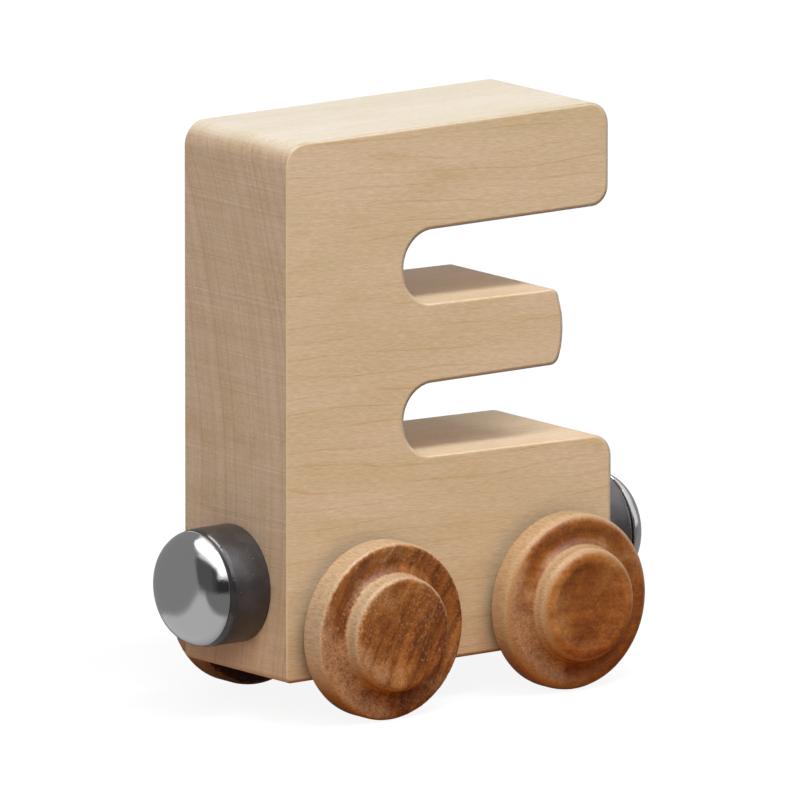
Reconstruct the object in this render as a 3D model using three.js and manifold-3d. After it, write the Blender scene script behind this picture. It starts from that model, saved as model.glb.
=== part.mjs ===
// A wooden letter train car: a block letter E on four turned wheels, with a magnetic coupling
// on each end. Millimetres, +Z up. X runs along the car with the front at -X, and the letter
// reads from the -Y side, which is the car's left. The origin is on the ground, under the middle.

import * as THREE from 'three';
import { mergeVertices } from 'three/addons/utils/BufferGeometryUtils.js';
import loadManifold from 'manifold-3d';

// Letter block: lengths run back from the front end, heights add up from the underside
const blockThickness = 19.05;
const baseLength = 47.6;
const topArmLength = 47.1;
const middleArmLength = 40.95;
const middleArmCrown = 1.35; // how far its bowed end stands out past its corners
const middleArmCrestDrop = 0.8; // the bow's crest lies this far below the arm's middle
const stemWidth = 17.2;
const baseHeight = 24.5;
const lowerSlotHeight = 8.4;
const middleArmDepth = 9.5;
const upperSlotHeight = 8.55;
const topArmDepth = 12.25;
const slotDraftDegrees = 1.3; // each slot's floor falls towards its mouth
const cornerRadius = 2.8;
const bottomCornerRadius = 0.8;
const topArmCornerRadius = 2.3; // at the lower corner of its end
const middleArmCornerRadius = 1.2;
const middleArmCrownRadius = 9.0;
const arrisRadius = 0.5; // sanded edges

// Wheels and axles
const wheelDiameter = 20.8;
const rimThickness = 4.2;
const rimFrontRounding = 0.8;
const rimBackRounding = 0.9;
const dishDepth = 0.8; // the face sinks this far from the rim to the boss
const coveRadius = 1.3;
const bossDiameter = 13.5;
const bossStandOut = 1.9;
const bossRounding = 0.9;
const bossHollow = 0.25;
const wheelGap = 1.15; // between the block and each wheel's back
const wheelbase = 27.4;
const axleSetback = 1.65; // from the block's middle back to the middle of the wheelbase
const axleHeightInBlock = 5.5;
const axleDiameter = 3.2;
const axleCover = 1.8; // wood left over each end of an axle
const axleEndClearance = 0.1;
const runningClearance = 0.08;
const pressClearance = 0.01;

// Magnetic couplings
const couplingHeightInBlock = 10.45;
const magnetDiameter = 13.8;
const magnetLength = 5.8;
const magnetShoulder = 0.6;
const magnetBackChamfer = 0.2;
const magnetBoreClearance = 0.3;
const capInset = 0.2; // the cap's rim lies this far inside the magnet's edge
const capHeight = 2.9;
const capWall = 0.6;
const capCrownPower = 4.5; // higher is flatter in the middle
const capSidePower = 1.3; // higher is steeper at the rim
const nailShankDiameter = 2.2;
const nailHeadDiameter = 5.6;
const nailHeadThickness = 1.0;
const nailHeadRounding = 0.35;
const nailDepth = 9.0;
const nailPoint = 2.5;
const nailHoleSpare = 0.5;

// Places that follow from the sizes
const wheelRadius = wheelDiameter / 2;
const axleRadius = axleDiameter / 2;
const blockUnderside = wheelRadius - axleHeightInBlock;
const frontEndX = -baseLength / 2;
const rearEndX = baseLength / 2;
const frontAxleX = axleSetback - wheelbase / 2;
const rearAxleX = axleSetback + wheelbase / 2;
const couplingZ = blockUnderside + couplingHeightInBlock;
const wheelBackY = blockThickness / 2 + wheelGap;
const wheelWidth = rimThickness + bossStandOut;
const axleSeatDepth = wheelWidth - axleCover;

// Facets
const mergeDistance = 1e-4;
const roundFacets = 40;
const nailFacets = 24;
const outlineArcSteps = 4;
const arrisSteps = 2;
const filletSteps = 2;
const domeSteps = 8;

const colours = {
  maple: { color: 0xd9bd94, roughness: 0.6, metalness: 0 },
  turnedWood: { color: 0x9c6a3c, roughness: 0.5, metalness: 0 },
  ferrite: { color: 0x3b3536, roughness: 0.45, metalness: 0.2 },
  chrome: { color: 0xc9cbcd, roughness: 0.08, metalness: 1 },
  steel: { color: 0xa4a6a8, roughness: 0.3, metalness: 1 },
};

const manifold = await loadManifold();
manifold.setup();

const car = new THREE.Group();

// Solids: turn a closed geometry into one that can be cut, and back
function toSolid(geometry) {
  const bare = geometry.clone();
  bare.deleteAttribute('normal');
  bare.deleteAttribute('uv');
  const merged = mergeVertices(bare, mergeDistance);
  const vertProperties = new Float32Array(merged.attributes.position.array);
  const triVerts = new Uint32Array(merged.index.array);
  return new manifold.Manifold(new manifold.Mesh({ numProp: 3, vertProperties, triVerts }));
}

function toGeometry(solid) {
  const mesh = solid.getMesh();
  const geometry = new THREE.BufferGeometry();
  geometry.setAttribute('position', new THREE.BufferAttribute(new Float32Array(mesh.vertProperties), 3));
  geometry.setIndex(new THREE.BufferAttribute(new Uint32Array(mesh.triVerts), 1));
  geometry.computeVertexNormals();
  return geometry;
}

function addPiece(name, geometry, finish, parent = car) {
  const piece = new THREE.Mesh(geometry, new THREE.MeshStandardMaterial(finish));
  piece.name = name;
  parent.add(piece);
  return piece;
}

// A closed outline from its corners, each [x, z, radius], with every corner rounded
function roundedOutline(corners) {
  const shape = new THREE.Shape();
  corners.forEach(([x, z, radius], index) => {
    const corner = new THREE.Vector2(x, z);
    const [px, pz] = corners[(index + corners.length - 1) % corners.length];
    const [nx, nz] = corners[(index + 1) % corners.length];
    const back = new THREE.Vector2(px, pz).sub(corner).normalize();
    const ahead = new THREE.Vector2(nx, nz).sub(corner).normalize();
    const half = Math.acos(back.dot(ahead)) / 2;
    const start = corner.clone().addScaledVector(back, radius / Math.tan(half));
    const end = corner.clone().addScaledVector(ahead, radius / Math.tan(half));
    const middle = back.clone().add(ahead).normalize();
    const centre = corner.clone().addScaledVector(middle, radius / Math.sin(half));
    const from = start.clone().sub(centre).angle();
    const to = end.clone().sub(centre).angle();
    const clockwise = back.cross(ahead) > 0;
    shape.absarc(centre.x, centre.y, radius, from, to, clockwise);
  });
  return shape;
}

// The letter's corners, with x from the front end and z from the underside
function letterCorners() {
  const draft = Math.tan(THREE.MathUtils.degToRad(slotDraftDegrees));
  const lowerCeiling = baseHeight + lowerSlotHeight;
  const upperFloor = lowerCeiling + middleArmDepth;
  const upperCeiling = upperFloor + upperSlotHeight;
  const top = upperCeiling + topArmDepth;
  const middleArmShoulder = middleArmLength - middleArmCrown;
  const baseTop = baseHeight - draft * (baseLength - stemWidth);
  const middleArmTop = upperFloor - draft * (middleArmShoulder - stemWidth);
  const crestHeight = (lowerCeiling + middleArmTop) / 2 - middleArmCrestDrop;
  return [
    [0, 0, bottomCornerRadius],
    [baseLength, 0, bottomCornerRadius],
    [baseLength, baseTop, cornerRadius],
    [stemWidth, baseHeight, lowerSlotHeight / 2],
    [stemWidth, lowerCeiling, lowerSlotHeight / 2],
    [middleArmShoulder, lowerCeiling, middleArmCornerRadius],
    [middleArmLength, crestHeight, middleArmCrownRadius],
    [middleArmShoulder, middleArmTop, middleArmCornerRadius],
    [stemWidth, upperFloor, upperSlotHeight / 2],
    [stemWidth, upperCeiling, upperSlotHeight / 2],
    [topArmLength, upperCeiling, topArmCornerRadius],
    [topArmLength, top, cornerRadius],
    [0, top, cornerRadius],
  ];
}

// A cylinder to cut with, lying along Y or, turned, along X
function drill(radius, length, facets) {
  return new THREE.CylinderGeometry(radius, radius, length, facets);
}

function letterBlock() {
  const blank = new THREE.ExtrudeGeometry(roundedOutline(letterCorners()), {
    depth: blockThickness - 2 * arrisRadius,
    curveSegments: outlineArcSteps,
    bevelThickness: arrisRadius,
    bevelSize: arrisRadius,
    bevelOffset: -arrisRadius,
    bevelSegments: arrisSteps,
  });
  blank.translate(frontEndX, 0, arrisRadius - blockThickness / 2);
  blank.rotateX(Math.PI / 2);
  blank.translate(0, 0, blockUnderside);
  let block = toSolid(blank);
  for (const axleX of [frontAxleX, rearAxleX]) {
    const bore = drill(axleRadius + runningClearance, blockThickness * 2, roundFacets);
    bore.translate(axleX, 0, wheelRadius);
    block = block.subtract(toSolid(bore));
  }
  for (const endX of [frontEndX, rearEndX]) {
    const holeDepth = nailDepth + nailHoleSpare;
    const hole = drill(nailShankDiameter / 2 + pressClearance, holeDepth * 2, nailFacets);
    hole.rotateZ(Math.PI / 2);
    hole.translate(endX, 0, couplingZ);
    block = block.subtract(toSolid(hole));
  }
  return toGeometry(block);
}

// Points along an arc of a turned profile, as [radius, height]
function profileArc(centreR, centreH, radius, fromDegrees, toDegrees, steps) {
  const points = [];
  for (let step = 0; step <= steps; step += 1) {
    const angle = THREE.MathUtils.degToRad(fromDegrees + ((toDegrees - fromDegrees) * step) / steps);
    points.push([centreR + radius * Math.cos(angle), centreH + radius * Math.sin(angle)]);
  }
  return points;
}

function turned(profile, facets = roundFacets) {
  return new THREE.LatheGeometry(profile.map(([r, h]) => new THREE.Vector2(r, h)), facets);
}

// A wheel turned about Y, from its back at height 0 to its boss
function wheel() {
  const bore = axleRadius + pressClearance;
  const bossRadius = bossDiameter / 2;
  const rimFlat = wheelRadius - rimFrontRounding;
  const dishFloor = rimThickness - dishDepth;
  return turned([
    [0, axleSeatDepth],
    [bore, axleSeatDepth],
    [bore, 0],
    ...profileArc(wheelRadius - rimBackRounding, rimBackRounding, rimBackRounding, -90, 0, filletSteps),
    ...profileArc(rimFlat, rimThickness - rimFrontRounding, rimFrontRounding, 0, 90, filletSteps),
    ...profileArc(bossRadius + coveRadius, dishFloor + coveRadius, coveRadius, 270, 180, filletSteps),
    ...profileArc(bossRadius - bossRounding, wheelWidth - bossRounding, bossRounding, 0, 90, filletSteps),
    [0, wheelWidth - bossHollow],
  ]);
}

function axle() {
  const length = blockThickness + 2 * (wheelGap + axleSeatDepth - axleEndClearance);
  return new THREE.CylinderGeometry(axleRadius, axleRadius, length, roundFacets);
}

// Coupling pieces turned about Y, with the block's end face at height 0
function magnet() {
  const radius = magnetDiameter / 2;
  const bore = nailShankDiameter / 2 + magnetBoreClearance;
  return turned([
    [bore, 0],
    [radius - magnetBackChamfer, 0],
    [radius, magnetBackChamfer],
    ...profileArc(radius - magnetShoulder, magnetLength - magnetShoulder, magnetShoulder, 0, 90, filletSteps),
    [bore, magnetLength],
    [bore, 0],
  ]);
}

// A dome from its rim to its crown: flat in the middle, rounder towards a steep side
function domeCurve(radius, height) {
  const points = [];
  for (let step = 0; step < domeSteps; step += 1) {
    const angle = (Math.PI / 2) * (step / domeSteps);
    const across = radius * Math.cos(angle) ** (2 / capCrownPower);
    const up = height * Math.sin(angle) ** (2 / capSidePower);
    points.push([across, magnetLength + up]);
  }
  points.push([0, magnetLength + height]);
  return points;
}

function cap() {
  const radius = magnetDiameter / 2 - capInset;
  const inside = domeCurve(radius - capWall, capHeight - capWall).reverse();
  return turned([...inside, ...domeCurve(radius, capHeight)]);
}

function nail() {
  const shank = nailShankDiameter / 2;
  const head = nailHeadDiameter / 2;
  const headTop = magnetLength + nailHeadThickness;
  return turned([
    [0, -nailDepth],
    [shank, nailPoint - nailDepth],
    [shank, magnetLength],
    [head, magnetLength],
    ...profileArc(head - nailHeadRounding, headTop - nailHeadRounding, nailHeadRounding, 0, 90, filletSteps),
    [0, headTop],
  ], nailFacets);
}

addPiece('letter_block', letterBlock(), colours.maple);

for (const [place, axleX] of [['front', frontAxleX], ['rear', rearAxleX]]) {
  const wheelset = new THREE.Group();
  wheelset.position.set(axleX, 0, wheelRadius);
  car.add(wheelset);
  addPiece(`${place}_axle`, axle(), colours.steel, wheelset);
  const left = addPiece(`${place}_left_wheel`, wheel(), colours.turnedWood, wheelset);
  left.position.y = -wheelBackY;
  left.rotation.z = Math.PI;
  const right = addPiece(`${place}_right_wheel`, wheel(), colours.turnedWood, wheelset);
  right.position.y = wheelBackY;
}

for (const [place, endX, turn] of [['front', frontEndX, Math.PI / 2], ['rear', rearEndX, -Math.PI / 2]]) {
  const coupling = new THREE.Group();
  coupling.position.set(endX, 0, couplingZ);
  coupling.rotation.z = turn;
  car.add(coupling);
  addPiece(`${place}_magnet`, magnet(), colours.ferrite, coupling);
  addPiece(`${place}_cap`, cap(), colours.chrome, coupling);
  addPiece(`${place}_nail`, nail(), colours.steel, coupling);
}

export default car;
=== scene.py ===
import math

import bmesh
import bpy
import mathutils.noise
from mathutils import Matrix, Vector


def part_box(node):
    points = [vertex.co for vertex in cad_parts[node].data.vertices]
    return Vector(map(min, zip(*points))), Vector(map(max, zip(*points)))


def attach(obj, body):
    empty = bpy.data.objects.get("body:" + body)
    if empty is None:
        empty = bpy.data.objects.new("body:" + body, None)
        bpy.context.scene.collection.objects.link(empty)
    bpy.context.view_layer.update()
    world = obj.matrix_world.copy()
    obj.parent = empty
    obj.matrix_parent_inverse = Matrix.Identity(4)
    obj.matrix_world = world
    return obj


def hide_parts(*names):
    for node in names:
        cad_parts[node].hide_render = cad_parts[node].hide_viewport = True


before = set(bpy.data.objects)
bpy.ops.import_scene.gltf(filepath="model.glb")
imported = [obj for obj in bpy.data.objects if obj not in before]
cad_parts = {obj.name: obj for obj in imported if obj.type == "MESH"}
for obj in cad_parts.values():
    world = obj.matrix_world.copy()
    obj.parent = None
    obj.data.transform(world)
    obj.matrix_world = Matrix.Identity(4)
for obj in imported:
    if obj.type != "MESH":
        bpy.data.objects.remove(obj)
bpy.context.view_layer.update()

mm = 0.001
touch = 0.01 * mm  # a point this close to a place counts as being there
weldGap = 0.004 * mm  # points closer than this become one
print("frame loaded:", len(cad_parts), "nodes")


# Camera: it stands far off, so the long edges of the block stay nearly parallel
photoCamera = {
    "azimuth": -37.563,  # degrees round from the side that the letter reads from
    "elevation": 11.128,
    "distance": 3.0,  # metres
    "lens": 1164.6,  # mm, as the sensor
    "sensor": 36.0,
    "aim": (-0.086, -0.414, 34.046),  # mm, the middle of the picture
}


def makeCamera(setup):
    turn = math.radians(setup["azimuth"])
    rise = math.radians(setup["elevation"])
    back = Vector((math.sin(turn) * math.cos(rise), -math.cos(turn) * math.cos(rise), math.sin(rise)))
    bpy.ops.object.camera_add(location=Vector(setup["aim"]) * mm + back * setup["distance"])
    camera = bpy.context.object
    camera.rotation_euler = (-back).to_track_quat("-Z", "Y").to_euler()
    camera.data.lens = setup["lens"]
    camera.data.sensor_width = setup["sensor"]
    bpy.context.scene.camera = camera


makeCamera(photoCamera)
print("camera set")


# Small helpers for modelling: everything is picked by its place or its normal
def startClean():
    if bpy.context.object and bpy.context.object.mode != "OBJECT":
        bpy.ops.object.mode_set(mode="OBJECT")
    bpy.ops.object.select_all(action="DESELECT")


def applyPlace():
    bpy.ops.object.transform_apply(location=True, rotation=True, scale=True)


def pick(kind, test):
    mesh = bpy.context.edit_object.data
    bpy.ops.mesh.select_mode(type=kind)
    bpy.ops.mesh.select_all(action="DESELECT")
    shape = bmesh.from_edit_mesh(mesh)
    parts = {"VERT": shape.verts, "EDGE": shape.edges, "FACE": shape.faces}[kind]
    found = [part for part in parts if test(part)]
    for part in found:
        part.select_set(True)
    shape.select_flush_mode()
    bmesh.update_edit_mesh(mesh)
    return len(found)


def roundEdges(test, radius, steps):
    pick("EDGE", test)
    shape = bmesh.from_edit_mesh(bpy.context.edit_object.data)
    bend = next(edge.calc_face_angle() for edge in shape.edges if edge.select)
    bpy.ops.mesh.bevel(offset=radius * math.tan(bend / 2), segments=steps, affect="EDGES")


def move(x=0.0, y=0.0, z=0.0):
    bpy.ops.transform.translate(value=(x, y, z))


def pushOut(x=0.0, y=0.0, z=0.0):
    bpy.ops.mesh.extrude_region_move(TRANSFORM_OT_translate={"value": (x, y, z)})


def tidyMesh():
    bpy.ops.mesh.select_all(action="SELECT")
    bpy.ops.mesh.remove_doubles(threshold=weldGap)
    bpy.ops.mesh.normals_make_consistent(inside=False)


def applyAll(piece):
    bpy.context.view_layer.objects.active = piece
    for name in [modifier.name for modifier in piece.modifiers]:
        bpy.ops.object.modifier_apply(modifier=name)


def smooth(piece, degrees=40):
    startClean()
    piece.select_set(True)
    bpy.context.view_layer.objects.active = piece
    bpy.ops.object.shade_smooth_by_angle(angle=math.radians(degrees))
    piece.modifiers.new("even normals", "WEIGHTED_NORMAL")
    applyAll(piece)


def nameIt(piece, name):
    piece.name = name
    piece.data.name = name


def addRod(along, facets, radius, depth, place):
    startClean()
    turn = {"x": (0, math.pi / 2, 0), "y": (math.pi / 2, 0, 0)}[along]
    bpy.ops.mesh.primitive_cylinder_add(
        vertices=facets, radius=radius, depth=depth, location=place, rotation=turn)
    return bpy.context.object


def drillHole(piece, radius, depth, place, along, facets=64):
    cutter = addRod(along, facets, radius, depth, place)
    hole = piece.modifiers.new("hole", "BOOLEAN")
    hole.object = cutter
    hole.operation = "DIFFERENCE"
    hole.solver = "EXACT"
    applyAll(piece)
    bpy.data.objects.remove(cutter)


def copyOf(piece, name, turn, place):
    startClean()
    piece.select_set(True)
    bpy.context.view_layer.objects.active = piece
    bpy.ops.object.duplicate(linked=False)
    twin = bpy.context.object
    nameIt(twin, name)
    twin.rotation_euler = (0, 0, turn)
    twin.location = place
    applyPlace()
    return twin


def finishPiece(piece, material, body, node):
    piece.data.materials.clear()
    piece.data.materials.append(material)
    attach(piece, body)
    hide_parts(node)


# Small helpers for materials
def emptyMaterial(name):
    material = bpy.data.materials.new(name)
    material.use_nodes = True
    material.node_tree.nodes.clear()
    return material, material.node_tree


def startMaterial(name):
    material, tree = emptyMaterial(name)
    surface = addNode(tree, "ShaderNodeBsdfPrincipled")
    addNode(tree, "ShaderNodeOutputMaterial", {"Surface": surface.outputs["BSDF"]})
    return material, tree, surface


def setSockets(tree, node, values):
    for socket, value in values.items():
        if isinstance(value, bpy.types.NodeSocket):
            tree.links.new(value, node.inputs[socket])
        else:
            node.inputs[socket].default_value = value


def addNode(tree, kind, values=None, **settings):
    node = tree.nodes.new(kind)
    for key, value in settings.items():
        setattr(node, key, value)
    setSockets(tree, node, values or {})
    return node


def placeIn(tree, centre=(0, 0, 0), turn=(0, 0, 0)):
    # the piece's own millimetres, measured from a centre and turned with the grain
    coords = addNode(tree, "ShaderNodeTexCoord")
    values = {"Vector": coords.outputs["Object"], "Location": centre, "Rotation": turn, "Scale": (mm, mm, mm)}
    return addNode(tree, "ShaderNodeMapping", values, vector_type="TEXTURE").outputs["Vector"]


def normalAlong(tree, axis):
    coords = addNode(tree, "ShaderNodeTexCoord")
    split = addNode(tree, "ShaderNodeSeparateXYZ", {"Vector": coords.outputs["Normal"]})
    return split.outputs[axis]


def maths(tree, operation, first, second=0.0):
    return addNode(tree, "ShaderNodeMath", {0: first, 1: second}, operation=operation).outputs["Value"]


def vectors(tree, operation, first, second=(0, 0, 0)):
    node = addNode(tree, "ShaderNodeVectorMath", {0: first, 1: second}, operation=operation)
    return node.outputs["Vector" if operation == "MULTIPLY" else "Value"]


def noise(tree, place, stretch, detail=2.0, rough=0.5, shift=(0, 0, 0), turn=(0, 0, 0)):
    # stretch is how many patches of the noise a millimetre holds along each axis
    moved = {"Vector": place, "Scale": stretch, "Location": shift, "Rotation": turn}
    mapping = addNode(tree, "ShaderNodeMapping", moved)
    values = {"Vector": mapping.outputs["Vector"], "Scale": 1.0, "Detail": detail, "Roughness": rough}
    return addNode(tree, "ShaderNodeTexNoise", values).outputs["Fac"]


def shifted(tree, place, pattern, reach):
    # a noise moves each point by its colour
    values = {0: pattern.node.outputs["Color"], 1: reach, 2: place}
    return addNode(tree, "ShaderNodeVectorMath", values, operation="MULTIPLY_ADD").outputs["Vector"]


def spread(tree, value, limits):
    # nearly all of a noise lies between 0.3 and 0.7
    values = {"Value": value, "From Min": 0.3, "From Max": 0.7, "To Min": limits[0], "To Max": limits[1]}
    return addNode(tree, "ShaderNodeMapRange", values).outputs["Result"]


def between(tree, value, low, high):
    values = {"Value": value, "From Min": low, "From Max": high}
    return addNode(tree, "ShaderNodeMapRange", values, interpolation_type="SMOOTHSTEP").outputs["Result"]


def ramp(tree, factor, stops):
    node = addNode(tree, "ShaderNodeValToRGB", {"Fac": factor})
    band = node.color_ramp
    while len(band.elements) < len(stops):
        band.elements.new(0.5)
    for element, (position, colour) in zip(band.elements, stops):
        element.position = position
        element.color = (*colour, 1)
    return node.outputs["Color"]


def opaque(colour):
    return colour if isinstance(colour, bpy.types.NodeSocket) else (*colour, 1)


def mix(tree, mode, amount, first, second):
    # the Mix node has its colours on sockets 6 and 7, and gives the mixed colour on 2
    values = {0: amount, 6: opaque(first), 7: opaque(second)}
    return addNode(tree, "ShaderNodeMix", values, data_type="RGBA", blend_type=mode).outputs[2]


def steppedLines(tree, distance, perMm, sway, reach, width):
    # thin lines at even steps of a distance, swayed by a noise
    steps = maths(tree, "MULTIPLY", distance, perMm)
    swayed = maths(tree, "ADD", steps, maths(tree, "MULTIPLY", sway, reach))
    share = maths(tree, "FRACT", swayed)
    return ramp(tree, share, [(0.0, (0, 0, 0)), (width / 2, (1, 1, 1)), (width, (0, 0, 0))])


def bump(tree, height, depth, before=None):
    values = {"Height": height, "Distance": depth * mm, "Strength": 1.0}
    if before is not None:
        values["Normal"] = before
    return addNode(tree, "ShaderNodeBump", values).outputs["Normal"]


# Pale wood of the letter: fibres run along X, and the pith lay far behind the block
mapleLook = {
    "straw": (0.608, 0.448, 0.270),
    "pink": (0.650, 0.480, 0.314),
    "tan": (0.570, 0.398, 0.212),
    "goldLine": (0.92, 0.84, 0.68),  # long lines on the sides
    "linesPerMm": 0.48,
    "lineSway": 2.2,  # in steps between lines
    "lineWidth": 0.13,  # share of a step
    "ringLine": (0.93, 0.85, 0.84),  # on the end grain
    "ringsPerMm": 1.0,
    "ringSway": 1.6,
    "ringWidth": 0.22,
    "ringNoise": 0.75,
    "pith": (0, 100, 25),  # mm
    "fibreSlope": 5.0,  # degrees that the fibres fall towards the rear
    "lineSlope": 2.0,
    "sawSlope": 4.0,
    "endGrainFrom": (0.55, 0.92),  # how squarely a face looks along the fibres
    "edge": (0.65, 0.485, 0.285),  # painted highlight: a golden band on the upright arrises
    "arrisHighlightFrom": (19.5, 22.0),  # mm from the middle, where that begins
    "arrisHighlightShare": 0.8,
    "roughness": (0.36, 0.46),
    "specular": 0.25,
    "sheen": 0.45,
    "sheenRoughness": 0.3,
    "fibreRelief": 0.015,  # mm, as the next two
    "threadRelief": 0.01,
    "sawRelief": 0.04,
    "topPaintedLight": (1.13, 1.33, 1.66),  # painted light: the top is paler, and the slots' floors a little, where the lamp falls on them
    "slotPaintedLight": (1.27, 1.32, 1.40),
    "topFrom": (58, 64),  # mm above the ground
}


def mapleWood():
    look = mapleLook
    material, tree, surface = startMaterial("sanded maple")
    flat = placeIn(tree)
    lined = placeIn(tree, (0, 0, 0), (0, math.radians(look["lineSlope"]), 0))
    fibred = placeIn(tree, (0, 0, 0), (0, math.radians(look["fibreSlope"]), 0))
    wander = noise(tree, flat, (0.02, 0.07, 0.07), 1.0)
    place = shifted(tree, lined, wander, (0, 1.2, 1.2))

    # broad clouds of colour
    broad = noise(tree, place, (0.03, 0.24, 0.24), 2.0)
    colour = ramp(tree, broad, [(0.35, look["straw"]), (0.65, look["pink"])])
    cloud = noise(tree, place, (0.07, 0.20, 0.20), 2.0, 0.5, (9, 4, 21))
    colour = mix(tree, "MIX", between(tree, cloud, 0.54, 0.84), colour, look["tan"])

    # short fibres and long soft threads
    fibre = noise(tree, fibred, (0.80, 6.6, 6.6), 3.0, 0.65)
    fibreTone = ramp(tree, fibre, [(0.30, (0.88, 0.86, 0.83)), (0.70, (1.10, 1.11, 1.12))])
    colour = mix(tree, "MULTIPLY", 1.0, colour, fibreTone)
    thread = noise(tree, fibred, (0.10, 2.2, 2.2), 2.0, 0.5, (2, 15, 6))
    threadStops = [(0.30, (0.965, 0.955, 0.94)), (0.70, (1.02, 1.02, 1.025))]
    colour = mix(tree, "MULTIPLY", 1.0, colour, ramp(tree, thread, threadStops))

    # long golden lines, which come and go
    endwise = maths(tree, "ABSOLUTE", normalAlong(tree, "X"))
    endGrain = between(tree, endwise, *look["endGrainFrom"])
    level = vectors(tree, "DOT_PRODUCT", place, (0, 1, 1))
    sway = noise(tree, flat, (0.03, 0.16, 0.16), 2.0, 0.5, (4, 8, 2))
    lines = steppedLines(tree, level, look["linesPerMm"], sway, look["lineSway"], look["lineWidth"])
    patches = noise(tree, flat, (0.07, 0.45, 0.45), 1.0, 0.5, (31, 7, 13))
    lines = maths(tree, "MULTIPLY", lines, between(tree, patches, 0.36, 0.58))
    lines = maths(tree, "MULTIPLY", lines, maths(tree, "SUBTRACT", 1.0, endGrain))
    colour = mix(tree, "MULTIPLY", lines, colour, look["goldLine"])

    # end grain: ring lines round the pith, with saw marks across
    across = vectors(tree, "MULTIPLY", place, (0, 1, 1))
    fromPith = vectors(tree, "DISTANCE", across, look["pith"])
    ringInputs = {"W": fromPith, "Scale": look["ringNoise"]}
    rings = addNode(tree, "ShaderNodeTexNoise", ringInputs, noise_dimensions="1D").outputs["Fac"]
    endTone = ramp(tree, rings, [(0.34, (0.95, 0.925, 0.95)), (0.66, (1.01, 1.0, 1.06))])
    colour = mix(tree, "MULTIPLY", endGrain, colour, endTone)
    ringLines = steppedLines(tree, fromPith, look["ringsPerMm"], rings, look["ringSway"], look["ringWidth"])
    ringLines = maths(tree, "MULTIPLY", ringLines, endGrain)
    colour = mix(tree, "MULTIPLY", ringLines, colour, look["ringLine"])
    sawTurn = (math.radians(look["sawSlope"]), 0, 0)
    saw = noise(tree, flat, (0.05, 0.045, 4.2), 3.0, 0.7, turn=sawTurn)
    sawStops = [(0.32, (0.93, 0.93, 0.94)), (0.52, (1.0, 1.0, 1.0)), (0.72, (1.10, 1.10, 1.10))]
    colour = mix(tree, "MULTIPLY", endGrain, colour, ramp(tree, saw, sawStops))

    # painted light on the top and slot floors, then a painted highlight on the upright arrises
    along = addNode(tree, "ShaderNodeSeparateXYZ", {"Vector": flat})
    upward = between(tree, normalAlong(tree, "Z"), 0.40, 0.95)
    high = between(tree, along.outputs["Z"], *look["topFrom"])
    paintedUpLight = mix(tree, "MIX", high, look["slotPaintedLight"], look["topPaintedLight"])
    colour = mix(tree, "MULTIPLY", upward, colour, paintedUpLight)
    crosswise = maths(tree, "ABSOLUTE", normalAlong(tree, "Y"))
    # painted highlight: the upright arrises near the ends are paler and golden
    onArrisHighlight = between(tree, maths(tree, "MULTIPLY", endwise, crosswise), 0.15, 0.45)
    atEnds = between(tree, maths(tree, "ABSOLUTE", along.outputs["X"]), *look["arrisHighlightFrom"])
    onArrisHighlight = maths(tree, "MULTIPLY", onArrisHighlight, atEnds)
    colour = mix(tree, "MIX", maths(tree, "MULTIPLY", onArrisHighlight, look["arrisHighlightShare"]), colour, look["edge"])

    relief = bump(tree, fibre, look["fibreRelief"])
    relief = bump(tree, thread, look["threadRelief"], relief)
    relief = bump(tree, maths(tree, "MULTIPLY", saw, endGrain), look["sawRelief"], relief)
    setSockets(tree, surface, {
        "Base Color": colour,
        "Roughness": spread(tree, fibre, look["roughness"]),
        "Specular IOR Level": look["specular"],
        "Sheen Weight": look["sheen"],
        "Sheen Roughness": look["sheenRoughness"],
        "Normal": relief,
    })
    return material


# Brown wood of the wheels: fibres run along the axle, so the faces are dark end grain
wheelLook = {
    "deep": (0.158, 0.038, 0.006),
    "brown": (0.262, 0.078, 0.010),
    "tan": (0.345, 0.142, 0.036),
    "dust": (0.470, 0.270, 0.150),
    "dustAndLitSideFrom": (-0.85, 0, -0.53),  # the side of the wheel that has most dust, which is partly painted light
    "dustReach": (3.0, 12.0),  # mm towards that side, where it begins and is full
    "dustShare": 0.65,
    "ray": (0.520, 0.320, 0.160),
    "scorch": (0.430, 0.210, 0.070),  # where side grain turns to end grain
    "scorchFrom": (0.40, 0.74),  # how squarely the wood looks along the axle there
    "scorchShare": 0.75,
    "faceFrom": (0.66, 0.98),
    "glint": (0.800, 0.640, 0.440),  # painted glints on the torn fibres there
    "back": (0.20, 0.14, 0.14),  # painted shade on the backs, which face the block
    "paintedLowShade": (0.67, 0.44, 0.18),  # painted shade on the sides, darkest towards the bottom
    "lowShadeFrom": (0.2, 0, -0.98),
    "lowShadeReach": (0.0, 6.5),
    "bossReach": (6.4, 7.2),  # mm from the axle, where the boss ends
    "cove": (6.7, 7.1, 8.0, 8.8),  # mm from the axle, where the cove rises and fades
    "coveLift": 0.35,
    "lipTone": (1.32, 1.42, 1.50),  # on the boss's raised edge
    "lipPlace": (4.9, 5.3, 6.0, 6.7),
    "specular": 0.40,
    "relief": 0.03,  # mm
    "front": {
        "side": (0.590, 0.420, 0.262), "sideDark": (0.400, 0.225, 0.100), "torn": 0.75, "pores": 1.0,
        "bands": 1.0, "mottle": 0.65, "lip": 0.15, "bossDust": 1.0, "rays": 0.38,
        "roughness": (0.32, 0.48),
    },
    "rear": {
        "side": (0.550, 0.370, 0.210), "sideDark": (0.405, 0.212, 0.086), "torn": 0.30, "pores": 0.55,
        "bands": 0.40, "mottle": 0.5, "lip": 0.70, "bossDust": 0.1, "rays": 0.12,
        "roughness": (0.16, 0.26),
    },
}


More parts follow.
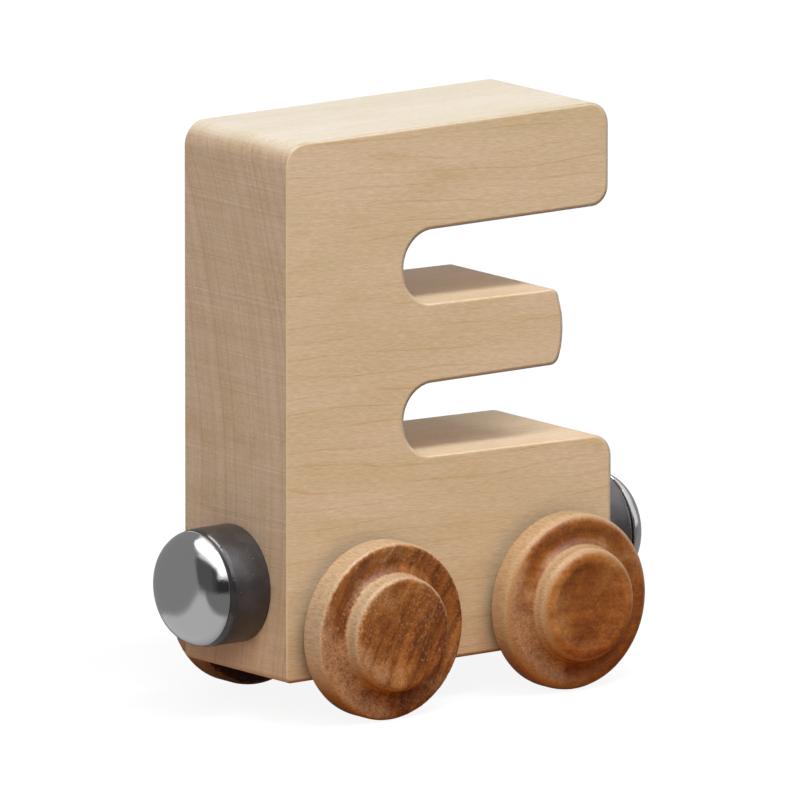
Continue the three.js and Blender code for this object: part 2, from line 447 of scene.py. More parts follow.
def wheelWood(name, end, centre, ringTurn, outward):
    look = wheelLook
    own = look[end]
    material, tree, surface = startMaterial(name)
    flat = placeIn(tree, centre, (0, math.radians(ringTurn), 0))
    wander = noise(tree, flat, (0.10, 0.05, 0.16), 2.0)
    place = shifted(tree, flat, wander, (0.6, 0, 1.6))

    # faces: blotches, with rings as soft broken bands
    blotch = noise(tree, flat, (0.26, 0.1, 0.26), 2.0, 0.5, (6, 1, 2))
    blotchStops = [(0.30, look["deep"]), (0.52, look["brown"]), (0.76, look["tan"])]
    face = ramp(tree, blotch, blotchStops)
    bands = noise(tree, place, (0.10, 0.02, 0.85), 3.0, 0.6)
    bandTone = ramp(tree, bands, [(0.40, (0.64, 0.58, 0.48)), (0.60, (1.26, 1.36, 1.48))])
    face = mix(tree, "MULTIPLY", own["bands"], face, bandTone)

    # rays are short pale dashes, and dust sits in the pores; the pale dust on one side is partly painted
    # light
    pores = noise(tree, flat, (3.8, 0.5, 3.8), 2.0, 0.7)
    rays = noise(tree, place, (2.2, 0.3, 4.4), 1.0, 0.5, (5, 3, 9))
    rayPatch = noise(tree, flat, (0.22, 0.2, 0.22), 1.0, 0.5, (17, 2, 4))
    rayPlace = maths(tree, "MULTIPLY", between(tree, rays, 0.54, 0.72), between(tree, rayPatch, 0.42, 0.62))
    face = mix(tree, "MIX", maths(tree, "MULTIPLY", rayPlace, own["rays"]), face, look["ray"])
    upright = placeIn(tree, centre)
    aside = vectors(tree, "DOT_PRODUCT", upright, look["dustAndLitSideFrom"])
    dustAndLitSide = between(tree, aside, *look["dustReach"])
    dusty = maths(tree, "ADD", blotch, dustAndLitSide)
    inPores = between(tree, pores, 0.0, 0.60)
    dust = maths(tree, "MULTIPLY", between(tree, dusty, 0.55, 1.0), inPores)
    fromAxle = vectors(tree, "LENGTH", vectors(tree, "MULTIPLY", upright, (1, 0, 1)))
    offBoss = between(tree, fromAxle, *look["bossReach"])
    dust = maths(tree, "MULTIPLY", dust, maths(tree, "MAXIMUM", offBoss, own["bossDust"]))
    outside = between(tree, maths(tree, "MULTIPLY", normalAlong(tree, "Y"), outward), 0.2, 0.6)
    dust = maths(tree, "MULTIPLY", dust, maths(tree, "MULTIPLY", outside, look["dustShare"]))
    face = mix(tree, "MIX", dust, face, look["dust"])

    # pores are fine specks, over a coarser mottling, and painted shade darkens the backs
    poreStops = [(0.32, (0.72, 0.66, 0.62)), (0.54, (1.0, 1.0, 1.0)), (0.74, (1.30, 1.36, 1.45))]
    face = mix(tree, "MULTIPLY", own["pores"], face, ramp(tree, pores, poreStops))
    mottle = noise(tree, flat, (1.7, 0.3, 1.7), 3.0, 0.75, (8, 5, 3))
    mottleStops = [(0.34, (0.70, 0.62, 0.54)), (0.50, (1.0, 1.0, 1.0)), (0.66, (1.26, 1.34, 1.42))]
    face = mix(tree, "MULTIPLY", own["mottle"], face, ramp(tree, mottle, mottleStops))
    paintedShadeOnBack = maths(tree, "SUBTRACT", 1.0, outside)
    face = mix(tree, "MULTIPLY", paintedShadeOnBack, face, look["back"])

    # sides: pale, with dark flecks along the axle
    lines = noise(tree, flat, (5.6, 0.9, 5.6), 4.0, 0.75)
    side = ramp(tree, lines, [(0.32, own["sideDark"]), (0.56, own["side"])])
    # painted shade: the sides darken towards the bottom
    paintedLowShade = vectors(tree, "DOT_PRODUCT", upright, look["lowShadeFrom"])
    inLowShade = between(tree, paintedLowShade, *look["lowShadeReach"])
    side = mix(tree, "MULTIPLY", inLowShade, side, look["paintedLowShade"])

    # where the turning tool crossed from side grain to end grain the wood is torn and scorched
    tear = noise(tree, flat, (3.0, 1.6, 3.0), 2.0, 0.6, (3, 8, 1))
    tearShift = maths(tree, "MULTIPLY", maths(tree, "SUBTRACT", tear, 0.5), own["torn"])
    facing = maths(tree, "ADD", maths(tree, "ABSOLUTE", normalAlong(tree, "Y")), tearShift)

    # end grain reaches further up the cove than round the outer edges
    def ringBand(limits):
        rise, full, fade, gone = limits
        inner = between(tree, fromAxle, rise, full)
        return maths(tree, "MULTIPLY", inner, between(tree, fromAxle, gone, fade))
    inCove = ringBand(look["cove"])
    facing = maths(tree, "ADD", facing, maths(tree, "MULTIPLY", inCove, look["coveLift"]))
    scorched = maths(tree, "MULTIPLY", between(tree, facing, *look["scorchFrom"]), look["scorchShare"])
    colour = mix(tree, "MIX", scorched, side, look["scorch"])
    # painted glints along the torn edge
    glints = between(tree, lines, 0.58, 0.70)
    glints = maths(tree, "MULTIPLY", glints, maths(tree, "MULTIPLY", scorched, own["torn"]))
    colour = mix(tree, "MIX", glints, colour, look["glint"])
    onLip = maths(tree, "MULTIPLY", ringBand(look["lipPlace"]), own["lip"])
    face = mix(tree, "MULTIPLY", onLip, face, look["lipTone"])
    colour = mix(tree, "MIX", between(tree, facing, *look["faceFrom"]), colour, face)

    setSockets(tree, surface, {
        "Base Color": colour,
        "Roughness": spread(tree, pores, own["roughness"]),
        "Specular IOR Level": look["specular"],
        "Normal": bump(tree, lines, look["relief"], bump(tree, pores, look["relief"])),
    })
    return material


# Satin ferrite of the magnets
ferriteLook = {
    "dark": (0.024, 0.021, 0.023),
    "pale": (0.045, 0.040, 0.044),
    "roughness": (0.28, 0.40),
    "worn": 0.75,  # how much smoother the rubbed shoulder is
    "specular": 0.75,
    "grainRelief": 0.005,  # mm
    "pitRelief": 0.05,
}


def ferrite(name, centre):
    look = ferriteLook
    material, tree, surface = startMaterial(name)
    place = placeIn(tree, centre)
    cloud = noise(tree, place, (0.35, 0.35, 0.35), 4.0, 0.6)
    colour = ramp(tree, cloud, [(0.35, look["dark"]), (0.68, look["pale"])])
    pits = noise(tree, place, (2.2, 2.2, 2.2), 2.0, 0.5, (4, 9, 2))
    pitTone = ramp(tree, pits, [(0.26, (0.45, 0.45, 0.45)), (0.36, (1.0, 1.0, 1.0))])
    colour = mix(tree, "MULTIPLY", 1.0, colour, pitTone)
    endwise = maths(tree, "ABSOLUTE", normalAlong(tree, "X"))
    shoulder = maths(tree, "MULTIPLY", between(tree, endwise, 0.10, 0.30), between(tree, endwise, 0.97, 0.85))
    kept = maths(tree, "SUBTRACT", 1.0, maths(tree, "MULTIPLY", shoulder, look["worn"]))
    rough = maths(tree, "MULTIPLY", spread(tree, cloud, look["roughness"]), kept)
    grain = noise(tree, place, (9.0, 9.0, 9.0), 1.0)
    relief = bump(tree, grain, look["grainRelief"])
    setSockets(tree, surface, {
        "Base Color": colour,
        "Roughness": rough,
        "Specular IOR Level": look["specular"],
        "Normal": bump(tree, between(tree, pits, 0.24, 0.36), look["pitRelief"], relief),
    })
    return material


# Bright plated caps, with the faintest orange peel
chromeLook = {"colour": (0.56, 0.56, 0.565, 1), "roughness": (0.06, 0.10), "peel": 0.010}


def chrome(name, centre):
    look = chromeLook
    material, tree, surface = startMaterial(name)
    place = placeIn(tree, centre)
    haze = noise(tree, place, (0.5, 0.5, 0.5), 3.0)
    peel = noise(tree, place, (4.5, 4.5, 4.5), 4.0, 0.7)
    setSockets(tree, surface, {
        "Metallic": 1.0,
        "Base Color": look["colour"],
        "Roughness": spread(tree, haze, look["roughness"]),
        "Normal": bump(tree, peel, look["peel"]),
    })
    return material


# Drawn steel of axles and nails, with draw lines along X or Y
steelLook = {
    "dark": (0.36, 0.36, 0.37),
    "pale": (0.56, 0.56, 0.57),
    "roughness": (0.24, 0.38),
    "relief": 0.01,  # mm
}


def drawnSteel(name, along):
    look = steelLook
    material, tree, surface = startMaterial(name)
    place = placeIn(tree)
    stretch = {"x": (0.05, 9.0, 9.0), "y": (9.0, 0.05, 9.0)}[along]
    lines = noise(tree, place, stretch, 3.0)
    setSockets(tree, surface, {
        "Metallic": 1.0,
        "Base Color": ramp(tree, lines, [(0.3, look["dark"]), (0.7, look["pale"])]),
        "Roughness": spread(tree, lines, look["roughness"]),
        "Normal": bump(tree, lines, look["relief"]),
    })
    return material


# Letter block: a stem that grows three arms, then every corner is rounded and every arris sanded
letterBlock = {
    "stem": 17.2,  # mm, as all sizes here
    "topArm": 47.1,
    "middleArm": 40.95,
    "middleCrown": 1.35,
    "crestDrop": 0.8,
    "lowerSlot": (24.5, 32.9),  # floor and ceiling above the underside
    "upperSlot": (42.4, 50.95),
    "slotDraft": 1.3,  # degrees
    "slotRound": 0.4985,  # share of a slot's height, so that it ends in nearly a half round
    "slotSteps": 14,
    "slotWeld": 0.05,
    "corner": 2.8,
    "bottomCorner": 0.8,
    "topArmCorner": 2.3,
    "middleArmCorner": 1.2,
    "crownRadius": 9.0,
    "arris": 0.60,  # where it is widest, up the ends
    "armArris": 0.13,  # share of it that is left along the arms
    "arrisUneven": 0.50,
    "arrisWave": 1.4,
    "arrisStep": 0.6,  # longest stretch of an arris between two points
    "arrisRounds": 4,
    "innerRing": 0.45,
    "sideArea": 100,  # square mm, which only the two sides exceed
    "axleBore": 1.68,
    "nailHole": 1.11,
    "nailHoleDepth": 9.5,
    "nailHoleFacets": 32,
    # nicks along the arris at the front: height above the ground and depth
    "nicks": ((58.6, 0.16), (52.9, 0.10), (47.6, 0.20), (44.0, 0.16), (30.5, 0.12), (23.0, 0.10)),
    "nickReach": 0.5,
    "nickInset": 0.15,
}


def makeLetter(size):
    low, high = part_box("letter_block")
    depth = high.y - low.y
    stemEnd = low.x + size["stem"] * mm
    levels = [low.z + level * mm for level in (*size["lowerSlot"], *size["upperSlot"])]
    baseTop, middleLow, middleTop, topLow = levels
    shoulder = low.x + (size["middleArm"] - size["middleCrown"]) * mm
    topEnd = low.x + size["topArm"] * mm

    startClean()
    middle = ((low.x + stemEnd) / 2, (low.y + high.y) / 2, (low.z + high.z) / 2)
    bpy.ops.mesh.primitive_cube_add(size=1, location=middle, scale=(stemEnd - low.x, depth, high.z - low.z))
    applyPlace()
    letter = bpy.context.object
    nameIt(letter, "letter_block_maple")

    bpy.ops.object.mode_set(mode="EDIT")
    for level in levels:
        bpy.ops.mesh.select_all(action="SELECT")
        bpy.ops.mesh.bisect(plane_co=(0, 0, level), plane_no=(0, 0, 1))

    # arms
    arms = [(low.z, baseTop, high.x), (middleLow, middleTop, shoulder), (topLow, high.z, topEnd)]
    for armLow, armHigh, armEnd in arms:
        def isArmRoot(face):
            centre = face.calc_center_median()
            return face.normal.x > 0.9 and abs(centre.x - stemEnd) < touch and armLow < centre.z < armHigh
        pick("FACE", isArmRoot)
        pushOut(x=armEnd - stemEnd)

    # slot floors fall towards the mouth
    draft = math.tan(math.radians(size["slotDraft"]))
    for endX, level in ((high.x, baseTop), (shoulder, middleTop)):
        pick("VERT", lambda v: abs(v.co.x - endX) < touch and abs(v.co.z - level) < touch)
        move(z=-draft * (endX - stemEnd))
    baseEndTop = baseTop - draft * (high.x - stemEnd)
    middleEndTop = middleTop - draft * (shoulder - stemEnd)

    # the middle arm's end is bowed out
    crownLevel = (middleLow + middleEndTop) / 2 - size["crestDrop"] * mm
    pick("FACE", lambda f: f.normal.x > 0.9 and abs(f.calc_center_median().x - shoulder) < touch)
    bpy.ops.mesh.bisect(plane_co=(0, 0, crownLevel), plane_no=(0, 0, 1))
    pick("VERT", lambda v: abs(v.co.x - shoulder) < touch and abs(v.co.z - crownLevel) < touch)
    move(x=size["middleCrown"] * mm)

    # corners, as x, z, radius and steps
    crownEnd = shoulder + size["middleCrown"] * mm
    corners = [
        (low.x, low.z, size["bottomCorner"], 6),
        (high.x, low.z, size["bottomCorner"], 6),
        (high.x, baseEndTop, size["corner"], 12),
        (low.x, high.z, size["corner"], 12),
        (topEnd, high.z, size["corner"], 12),
        (topEnd, topLow, size["topArmCorner"], 10),
        (crownEnd, crownLevel, size["crownRadius"], 10),
        (shoulder, middleLow, size["middleArmCorner"], 8),
        (shoulder, middleEndTop, size["middleArmCorner"], 8),
    ]
    for cornerX, cornerZ, radius, steps in corners:
        def isCorner(edge):
            return all(abs(v.co.x - cornerX) < touch and abs(v.co.z - cornerZ) < touch for v in edge.verts)
        roundEdges(isCorner, radius * mm, steps)

    # the slots end in a half round
    for floor, ceiling in ((baseTop, middleLow), (middleTop, topLow)):
        def isSlotEnd(edge):
            atEnd = all(abs(v.co.x - stemEnd) < touch for v in edge.verts)
            level = edge.verts[0].co.z
            flat = abs(edge.verts[1].co.z - level) < touch
            return atEnd and flat and min(abs(level - floor), abs(level - ceiling)) < touch
        roundEdges(isSlotEnd, (ceiling - floor) * size["slotRound"], size["slotSteps"])
    bpy.ops.mesh.select_all(action="SELECT")
    bpy.ops.mesh.remove_doubles(threshold=size["slotWeld"] * mm)

    # one face on each side
    for side in (-1, 1):
        pick("FACE", lambda f: f.normal.y * side > 0.99)
        bpy.ops.mesh.dissolve_faces()

    # points along the outline, so that the sanded arris can have nicks
    def isOutline(edge):
        steepness = [abs(face.normal.y) for face in edge.link_faces]
        return len(steepness) == 2 and max(steepness) > 0.9 and min(steepness) < 0.1
    step = size["arrisStep"] * mm
    while pick("EDGE", lambda e: isOutline(e) and e.calc_length() > step):
        bpy.ops.mesh.subdivide(number_cuts=1)
    shape = bmesh.from_edit_mesh(letter.data)
    weights = shape.edges.layers.float.new("bevel_weight_edge")
    for edge in filter(isOutline, shape.edges):
        centre = (edge.verts[0].co + edge.verts[1].co) / 2
        fromEnd = min(centre.x - low.x, high.x - centre.x) / (size["corner"] * mm)
        share = max(size["armArris"], 1 - fromEnd)
        uneven = mathutils.noise.noise(centre / (size["arrisWave"] * mm)) * size["arrisUneven"]
        edge[weights] = share * (1 + uneven) / (1 + size["arrisUneven"])
    bpy.ops.object.mode_set(mode="OBJECT")
    sanding = letter.modifiers.new("sanding", "BEVEL")
    sanding.limit_method = "WEIGHT"
    sanding.width = size["arris"] * mm
    sanding.segments = size["arrisRounds"]
    applyAll(letter)
    bpy.ops.object.mode_set(mode="EDIT")
    pick("FACE", lambda f: abs(f.normal.y) > 0.999 and f.calc_area() > size["sideArea"] * mm * mm)
    bpy.ops.mesh.inset(thickness=size["innerRing"] * mm, use_individual=True)

    # nicks
    for height, nickDepth in size["nicks"]:
        inset = size["nickInset"] * mm
        spot = Vector((low.x + inset, low.y + inset, height * mm))
        shape = bmesh.from_edit_mesh(letter.data)
        nearest = min(shape.verts, key=lambda v: (v.co - spot).length)
        place = nearest.co.copy()
        pick("VERT", lambda v: (v.co - place).length < touch)
        inward = nickDepth * mm / math.sqrt(2)
        bpy.ops.transform.translate(
            value=(inward, inward, 0), use_proportional_edit=True, proportional_edit_falloff="SHARP",
            proportional_size=size["nickReach"] * mm)
    tidyMesh()
    bpy.ops.object.mode_set(mode="OBJECT")
    return letter


def drillLetter(letter, size):
    # bores for the axles, pilot holes for the coupling nails
    low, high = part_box("letter_block")
    depth = high.y - low.y
    for axle in ("front_axle", "rear_axle"):
        rodLow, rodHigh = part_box(axle)
        drillHole(letter, size["axleBore"] * mm, depth * 2, (rodLow + rodHigh) / 2, "y")
    magnetLow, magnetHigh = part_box("front_magnet")
    nailLevel = (magnetLow.z + magnetHigh.z) / 2
    for endX in (low.x, high.x):
        nailSeat = (endX, 0, nailLevel)
        drillHole(letter, size["nailHole"] * mm, size["nailHoleDepth"] * 2 * mm, nailSeat, "x",
                  size["nailHoleFacets"])


letter = makeLetter(letterBlock)
drillLetter(letter, letterBlock)
smooth(letter)
finishPiece(letter, mapleWood(), "car", "letter_block")
print("letter block made:", len(letter.data.polygons), "faces")


# Wheels: turned from a disc. The front pair has crisp edges, the rear pair is worn rounder.
wheelTurning = {
    "rimThickness": 4.2,  # mm, as all sizes here
    "rimBack": 0.9,
    "dish": 0.8,
    "boss": 6.75,
    "bore": 1.61,
    "seat": 4.3,
    "facets": 240,
    "tearGrain": 0.42,
    "tearFrom": (0.80, 0.93),  # share of the rim's thickness and of the radius
    "coveShare": 0.95,
    # the hollow of a boss goes in by steps: inward and deeper
    "front": {
        "rimEdge": 0.60, "cove": 1.35, "bossEdge": 0.75, "lip": 1.15, "tear": 0.12,
        "hollow": ((1.5, 0.10), (1.5, 0.09), (1.4, 0.07)),
    },
    "rear": {
        "rimEdge": 1.30, "cove": 1.45, "bossEdge": 1.25, "lip": 1.6, "tear": 0.05,
        "hollow": ((0.55, 0.34), (1.7, 0.10), (1.6, 0.06)),
    },
    "rings": {"front_left": -60, "front_right": 24, "rear_left": 4, "rear_right": -71},  # degrees
}


def makeWheel(name, size, wear):
    # it stands at the origin, with its back at y 0 and its boss towards -Y
    low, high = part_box("front_left_wheel")
    radius = (high.x - low.x) / 2
    width = high.y - low.y
    rim = size["rimThickness"] * mm
    boss = size["boss"] * mm
    cove = wear["cove"] * mm
    dish = size["dish"] * mm
    near = 2 * touch

    wheel = addRod("y", size["facets"], radius, rim, (0, -rim / 2, 0))
    applyPlace()
    nameIt(wheel, name)
    bpy.ops.object.mode_set(mode="EDIT")

    # face and boss
    pick("FACE", lambda f: f.normal.y < -0.9)
    bpy.ops.mesh.inset(thickness=radius - boss - cove)
    move(y=dish)
    bpy.ops.mesh.inset(thickness=cove)
    pushOut(y=-(width - rim + dish))
    bpy.ops.mesh.inset(thickness=wear["lip"] * mm)
    for inward, deeper in wear["hollow"]:
        bpy.ops.mesh.inset(thickness=inward * mm)
        move(y=deeper * mm)
    bpy.ops.mesh.poke()

    # seat for the axle
    pick("FACE", lambda f: f.normal.y > 0.9 and len(f.verts) > 8)
    bpy.ops.mesh.inset(thickness=radius - size["bore"] * mm)
    pushOut(y=-size["seat"] * mm)

    def ringAt(ringRadius, height):
        def isRing(edge):
            return all(abs(Vector((v.co.x, v.co.z)).length - ringRadius) < near
                       and abs(v.co.y + height) < near for v in edge.verts)
        return isRing
    roundEdges(ringAt(radius, 0.0), size["rimBack"] * mm, 6)
    roundEdges(ringAt(radius, rim), wear["rimEdge"] * mm, 6)
    roundEdges(ringAt(boss, rim - dish), cove * size["coveShare"], 8)
    roundEdges(ringAt(boss, width), wear["bossEdge"] * mm, 6)
    tidyMesh()

    # the rim's front edge is torn where the tool left it
    rimShare, radiusShare = size["tearFrom"]
    pick("VERT", lambda v: v.co.y < -rimShare * rim
         and Vector((v.co.x, v.co.z)).length > radiusShare * radius)
    bpy.ops.object.vertex_group_add()
    bpy.ops.object.vertex_group_assign()
    bpy.ops.object.mode_set(mode="OBJECT")
    torn = bpy.data.textures.new(name + " tear", "CLOUDS")
    torn.noise_scale = size["tearGrain"] * mm
    torn.noise_depth = 2
    tear = wheel.modifiers.new("tear", "DISPLACE")
    tear.texture = torn
    tear.texture_coords = "LOCAL"
    tear.vertex_group = wheel.vertex_groups[0].name
    tear.strength = wear["tear"] * mm
    tear.mid_level = 1.0
    applyAll(wheel)
    wheel.vertex_groups.clear()
    smooth(wheel, degrees=60)
    return wheel


for end in ("front", "rear"):
    pattern = makeWheel(end + "_wheel_pattern", wheelTurning, wheelTurning[end])
    for side, back, turn in (("left", 1, 0.0), ("right", -1, math.pi)):
        node = f"{end}_{side}_wheel"
        low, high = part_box(node)
        hub = (low + high) / 2
        seat = Vector((hub.x, high.y if back > 0 else low.y, hub.z))
        wheel = copyOf(pattern, node + "_turned", turn, seat)
        wood = wheelWood(node + " wood", end, seat, wheelTurning["rings"][f"{end}_{side}"], -back)
        finishPiece(wheel, wood, end + "_wheelset", node)
    bpy.data.objects.remove(pattern)
print("wheels made")


# Axles: plain rod with its ends broken
axleRod = {"facets": 64, "endBreak": 0.3}


def makeAxle(node, size):
    low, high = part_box(node)
    rod = addRod("y", size["facets"], (high.x - low.x) / 2, high.y - low.y, (low + high) / 2)
    applyPlace()
    nameIt(rod, node + "_rod")
    bpy.ops.object.mode_set(mode="EDIT")
    pick("EDGE", lambda e: abs(e.verts[0].co.y - e.verts[1].co.y) < touch)
    bpy.ops.mesh.bevel(offset=size["endBreak"] * mm, segments=2, affect="EDGES")
    bpy.ops.object.mode_set(mode="OBJECT")
    smooth(rod)
    return rod


axleSteel = drawnSteel("axle steel", "y")
for end in ("front", "rear"):
    rod = makeAxle(end + "_axle", axleRod)
    finishPiece(rod, axleSteel, end + "_wheelset", end + "_axle")
print("axles made")


# Couplings: a ring magnet under a plated dome, held by a nail. Modelled at the origin, facing -X.
couplingMake = {
    "facets": 128,
    "magnetBore": 1.4,  # mm, as all sizes here
    "magnetShoulder": 1.0,
    "magnetBack": 0.2,
    "capWall": 0.6,
    "capCrownPower": 4.5,  # powers of the dome's curve
    "capSidePower": 1.3,
    "domeRings": 22,
    "nailFacets": 48,
    "shank": 1.1,
    "headThickness": 1.0,
    "headEdge": 0.35,
    "nailDepth": 9.0,
    "nailPoint": 2.5,
}


def makeMagnet(size, radius, length):
    magnet = addRod("x", size["facets"], radius, length, (-length / 2, 0, 0))
    applyPlace()
    bpy.ops.object.mode_set(mode="EDIT")
    pick("FACE", lambda f: abs(f.normal.x) > 0.9)
    bpy.ops.mesh.inset(thickness=radius - size["magnetBore"] * mm, use_individual=True)
    bpy.ops.mesh.bridge_edge_loops()

    def isRim(end):
        def test(edge):
            return all(abs(v.co.x - end) < touch
                       and Vector(v.co.yz).length > 0.99 * radius for v in edge.verts)
        return test
    roundEdges(isRim(-length), size["magnetShoulder"] * mm, 6)
    roundEdges(isRim(0.0), size["magnetBack"] * mm, 2)
    tidyMesh()
    bpy.ops.object.mode_set(mode="OBJECT")
    smooth(magnet)
    return magnet


def makeCap(size, radius, seat, height):
    startClean()
    bpy.ops.mesh.primitive_circle_add(
        vertices=size["facets"], radius=radius, location=(-seat, 0, 0), rotation=(0, math.pi / 2, 0))
    applyPlace()
    cap = bpy.context.object
    bpy.ops.object.mode_set(mode="EDIT")
    bpy.ops.mesh.select_all(action="SELECT")
    across, up = radius, 0.0
    for ring in range(1, size["domeRings"]):
        angle = math.pi / 2 * ring / size["domeRings"]
        nextAcross = radius * math.cos(angle) ** (2 / size["capCrownPower"])
        nextUp = height * math.sin(angle) ** (2 / size["capSidePower"])
        bpy.ops.mesh.extrude_edges_move(TRANSFORM_OT_translate={"value": (up - nextUp, 0, 0)})
        share = nextAcross / across
        bpy.ops.transform.resize(value=(1, share, share), center_override=(0, 0, 0))
        across, up = nextAcross, nextUp
    bpy.ops.mesh.extrude_edges_move(TRANSFORM_OT_translate={"value": (up - height, 0, 0)})
    bpy.ops.mesh.merge(type="CENTER")
    tidyMesh()
    bpy.ops.object.mode_set(mode="OBJECT")
    wall = cap.modifiers.new("wall", "SOLIDIFY")
    wall.thickness = size["capWall"] * mm
    wall.offset = -1.0
    applyAll(cap)
    smooth(cap, degrees=60)
    return cap


def makeNail(size, seat, headRadius):
    shank = size["shank"] * mm
    length = seat + (size["nailDepth"] - size["nailPoint"]) * mm
    nail = addRod("x", size["nailFacets"], shank, length, (length / 2 - seat, 0, 0))
    applyPlace()
    bpy.ops.object.mode_set(mode="EDIT")
    pick("FACE", lambda f: f.normal.x > 0.9)
    pushOut(x=size["nailPoint"] * mm)
    bpy.ops.mesh.merge(type="CENTER")
    pick("FACE", lambda f: f.normal.x < -0.9 and len(f.verts) > 8)
    bpy.ops.mesh.extrude_region()
    bpy.ops.transform.resize(value=(1, headRadius / shank, headRadius / shank), center_override=(0, 0, 0))
    pushOut(x=-size["headThickness"] * mm)
    headTop = seat + size["headThickness"] * mm
    roundEdges(lambda e: all(abs(v.co.x + headTop) < touch for v in e.verts), size["headEdge"] * mm, 4)
    tidyMesh()
    bpy.ops.object.mode_set(mode="OBJECT")
    smooth(nail)
    return nail


magnetLow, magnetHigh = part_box("front_magnet")
capLow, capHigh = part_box("front_cap")
nailLow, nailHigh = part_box("front_nail")
magnetLength = magnetHigh.x - magnetLow.x
magnetPattern = makeMagnet(couplingMake, (magnetHigh.z - magnetLow.z) / 2, magnetLength)
capPattern = makeCap(couplingMake, (capHigh.z - capLow.z) / 2, magnetLength, capHigh.x - capLow.x)
nailPattern = makeNail(couplingMake, magnetLength, (nailHigh.z - nailLow.z) / 2)
nailSteel = drawnSteel("nail steel", "x")
for end, turn in (("front", 0.0), ("rear", math.pi)):
    low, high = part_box(end + "_magnet")
    seat = Vector((high.x if end == "front" else low.x, 0, (low.z + high.z) / 2))
    magnet = copyOf(magnetPattern, end + "_magnet_ferrite", turn, seat)
    finishPiece(magnet, ferrite(end + " ferrite", seat), "car", end + "_magnet")
    cap = copyOf(capPattern, end + "_cap_plated", turn, seat)
    finishPiece(cap, chrome(end + " plating", seat), "car", end + "_cap")
    nail = copyOf(nailPattern, end + "_nail_steel", turn, seat)
    finishPiece(nail, nailSteel, "car", end + "_nail")
for pattern in (magnetPattern, capPattern, nailPattern):
    bpy.data.objects.remove(pattern)
print("couplings made")


# Studio: a pale floor, a lamp above, a soft fill from the camera's left, a soft lamp behind,
# and cards seen only in reflections, which paint what the plated caps, magnets and wheels mirror
studio = {
    "ambient": 0.22,
    "floorNear": (0.50, 0.20, 0.01),  # as the floor round the car lights it from below
    "floorFar": (0.46, 0.45, 0.46),
    "floorNearReach": (32, 65),  # mm
    "floorWhite": 0.90,
    "floorShade": 0.12,
    "floorRadius": 4.0,  # metres
    "floorFacets": 96,
    "floorDrop": 0.05,  # mm below the wheels
    # lamps: the direction they stand in, and distance and size in metres
    "lamps": (
        {"from": (0.03, -0.43, 0.90), "distance": 2.4, "size": (1.8, 0.44), "watts": 43.0, "mirrored": True},
        {"from": (-0.58, -0.54, 0.61), "distance": 3.0, "size": (2.0, 2.0), "watts": 41.5, "mirrored": False},
        {"from": (0.32, 0.80, 0.51), "distance": 3.0, "size": (2.4, 1.6), "watts": 25.0, "mirrored": False},
    ),
    # flat cards just over the floor and overhead: size, middle and height in mm, grey,
    # and the share that fades at each edge
    "flatCards": (
        {"name": "card_table", "size": (900, 900), "middle": (0, 0), "height": -0.035,
         "grey": 0.32, "soft": 0.01},
        {"name": "card_apron", "size": (900, 430), "middle": (0, -233), "height": -0.03,
         "grey": 0.24, "soft": 0.01},
        {"name": "card_board", "size": (130, 56), "middle": (-87, 8), "height": -0.02,
         "grey": 0.66, "soft": 0.08},
        # painted shade: a dark card under the car, seen only in reflections
        {"name": "card_under_painted_shade", "size": (70, 70), "middle": (13, 0), "height": -0.015,
         "grey": 0.06, "soft": 0.01},
        {"name": "card_above", "size": (830, 1250), "middle": (35, -325), "height": 500,
         "grey": 2.0, "soft": 0.10},
        # painted highlight: a bright strip seen only in reflections, for the streak on the magnets' shoulders
        # and highlights on the wheels
        {"name": "card_strip_painted_highlight", "size": (170, 430), "middle": (-115, 50), "height": 480,
         "grey": 8.0, "soft": 0.2},
    ),
    # upright cards: degrees round from +X, distance, width and top in mm, and grey
    "wallFoot": 60,  # mm that they reach below the floor
    "wallSoft": 0.04,
    "walls": (
        {"name": "card_behind", "turn": 117, "away": 300, "width": 800, "top": 620, "grey": 0.32},
        {"name": "card_left", "turn": 200, "away": 300, "width": 440, "top": 330, "grey": 0.12},
        {"name": "card_corner", "turn": -150, "away": 310, "width": 260, "top": 250, "grey": 0.08},
        {"name": "card_front", "turn": -108, "away": 300, "width": 460, "top": 140, "grey": 0.04},
        {"name": "card_right", "turn": -48, "away": 300, "width": 330, "top": 110, "grey": 0.10},
        {"name": "card_side", "turn": 40, "away": 300, "width": 430, "top": 90, "grey": 0.32},
        {"name": "card_low", "turn": 52, "away": 52, "width": 64, "top": 72, "grey": 0.16},
    ),
}


def seenDirectly(tree):
    path = addNode(tree, "ShaderNodeLightPath")
    mirrored = maths(tree, "MAXIMUM", path.outputs["Is Glossy Ray"], path.outputs["Is Transmission Ray"])
    return maths(tree, "MAXIMUM", path.outputs["Is Camera Ray"], mirrored)


def makeWorld(setup):
    world = bpy.data.worlds.new("white studio")
    bpy.context.scene.world = world
    world.use_nodes = True
    tree = world.node_tree
    tree.nodes.clear()
    soft = addNode(tree, "ShaderNodeBackground", {"Color": (1, 1, 1, 1), "Strength": setup["ambient"]})
    white = addNode(tree, "ShaderNodeBackground", {"Color": (1, 1, 1, 1), "Strength": 1.0})
    shares = {0: seenDirectly(tree), 1: soft.outputs[0], 2: white.outputs[0]}
    choose = addNode(tree, "ShaderNodeMixShader", shares)
    addNode(tree, "ShaderNodeOutputWorld", {"Surface": choose.outputs[0]})


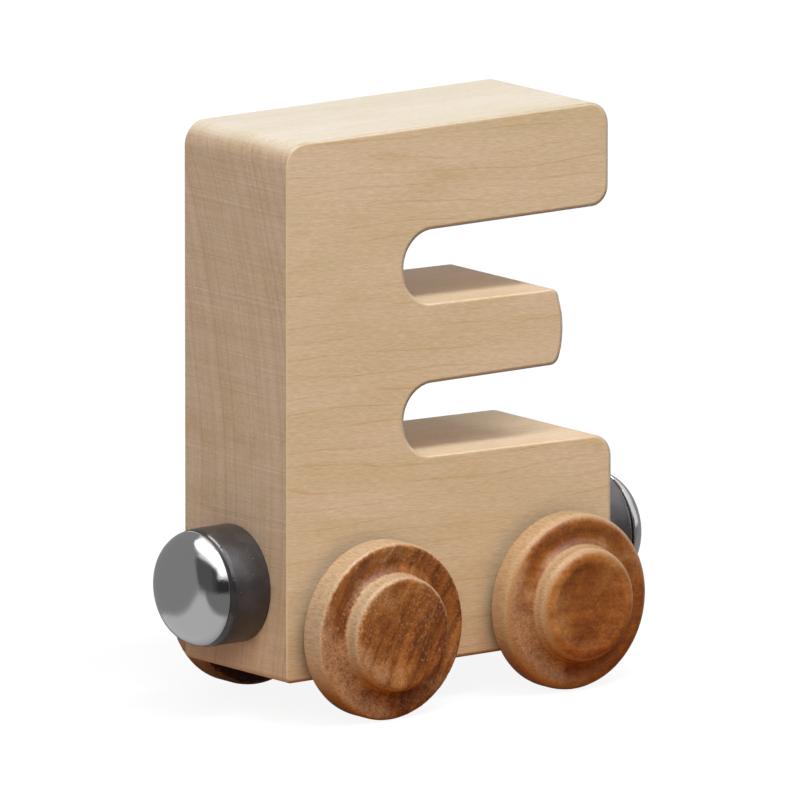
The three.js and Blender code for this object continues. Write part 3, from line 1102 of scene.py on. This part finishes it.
def makeFloor(setup):
    startClean()
    drop = -setup["floorDrop"] * mm
    bpy.ops.mesh.primitive_circle_add(
        vertices=setup["floorFacets"], radius=setup["floorRadius"], fill_type="NGON",
        location=(0, 0, drop))
    floor = bpy.context.object
    floor.name = "floor"
    material, tree = emptyMaterial("pale floor")
    coords = addNode(tree, "ShaderNodeTexCoord")
    away = vectors(tree, "LENGTH", coords.outputs["Object"])
    near, far = setup["floorNearReach"]
    outward = between(tree, away, near * mm, far * mm)
    tone = mix(tree, "MIX", outward, setup["floorNear"], setup["floorFar"])
    shade = setup["floorShade"]
    bounce = addNode(tree, "ShaderNodeBsdfDiffuse", {"Color": tone})
    shadow = addNode(tree, "ShaderNodeBsdfDiffuse", {"Color": (shade, shade, shade, 1)})
    white = addNode(tree, "ShaderNodeEmission", {"Color": (1, 1, 1, 1), "Strength": setup["floorWhite"]})
    shown = addNode(tree, "ShaderNodeAddShader", {0: shadow.outputs[0], 1: white.outputs[0]})
    shares = {0: seenDirectly(tree), 1: bounce.outputs[0], 2: shown.outputs[0]}
    choose = addNode(tree, "ShaderNodeMixShader", shares)
    addNode(tree, "ShaderNodeOutputMaterial", {"Surface": choose.outputs[0]})
    floor.data.materials.append(material)


def makeLamp(setup):
    startClean()
    away = Vector(setup["from"]).normalized()
    bpy.ops.object.light_add(type="AREA", location=away * setup["distance"])
    lamp = bpy.context.object
    lamp.rotation_euler = (-away).to_track_quat("-Z", "Y").to_euler()
    lamp.data.shape = "RECTANGLE"
    lamp.data.size, lamp.data.size_y = setup["size"]
    lamp.data.energy = setup["watts"]
    lamp.visible_camera = False
    lamp.visible_glossy = setup["mirrored"]


def makeCard(name, grey, width, tall, place, turn, soft):
    startClean()
    bpy.ops.mesh.primitive_plane_add(size=1, location=Vector(place) * mm, rotation=turn)
    card = bpy.context.object
    card.scale = (width * mm, tall * mm, 1)
    card.name = name
    material, tree = emptyMaterial(name)
    glow = addNode(tree, "ShaderNodeEmission", {"Color": (1, 1, 1, 1), "Strength": grey})
    # the card fades out at its edges
    coords = addNode(tree, "ShaderNodeTexCoord")
    split = addNode(tree, "ShaderNodeSeparateXYZ", {"Vector": coords.outputs["Object"]})
    fromMiddle = [maths(tree, "ABSOLUTE", split.outputs[axis]) for axis in ("X", "Y")]
    inside = [between(tree, distance, 0.5, 0.5 - soft) for distance in fromMiddle]
    clear = addNode(tree, "ShaderNodeBsdfTransparent")
    amount = maths(tree, "MULTIPLY", *inside)
    shown = addNode(tree, "ShaderNodeMixShader", {0: amount, 1: clear.outputs[0], 2: glow.outputs[0]})
    addNode(tree, "ShaderNodeOutputMaterial", {"Surface": shown.outputs[0]})
    card.data.materials.append(material)
    card.visible_camera = False
    card.visible_diffuse = False
    card.visible_transmission = False
    card.visible_shadow = False


def makeCards(setup):
    for card in setup["flatCards"]:
        place = (*card["middle"], card["height"])
        makeCard(card["name"], card["grey"], *card["size"], place, (0, 0, 0), card["soft"])
    for card in setup["walls"]:
        turn = math.radians(card["turn"])
        foot = setup["wallFoot"]
        place = (card["away"] * math.cos(turn), card["away"] * math.sin(turn), (card["top"] - foot) / 2)
        stand = (math.pi / 2, 0, turn + math.pi / 2)
        tall = card["top"] + foot
        makeCard(card["name"], card["grey"], card["width"], tall, place, stand, setup["wallSoft"])


bpy.context.scene.view_settings.view_transform = "Standard"
makeWorld(studio)
makeFloor(studio)
for lamp in studio["lamps"]:
    makeLamp(lamp)
makeCards(studio)
print("studio set")
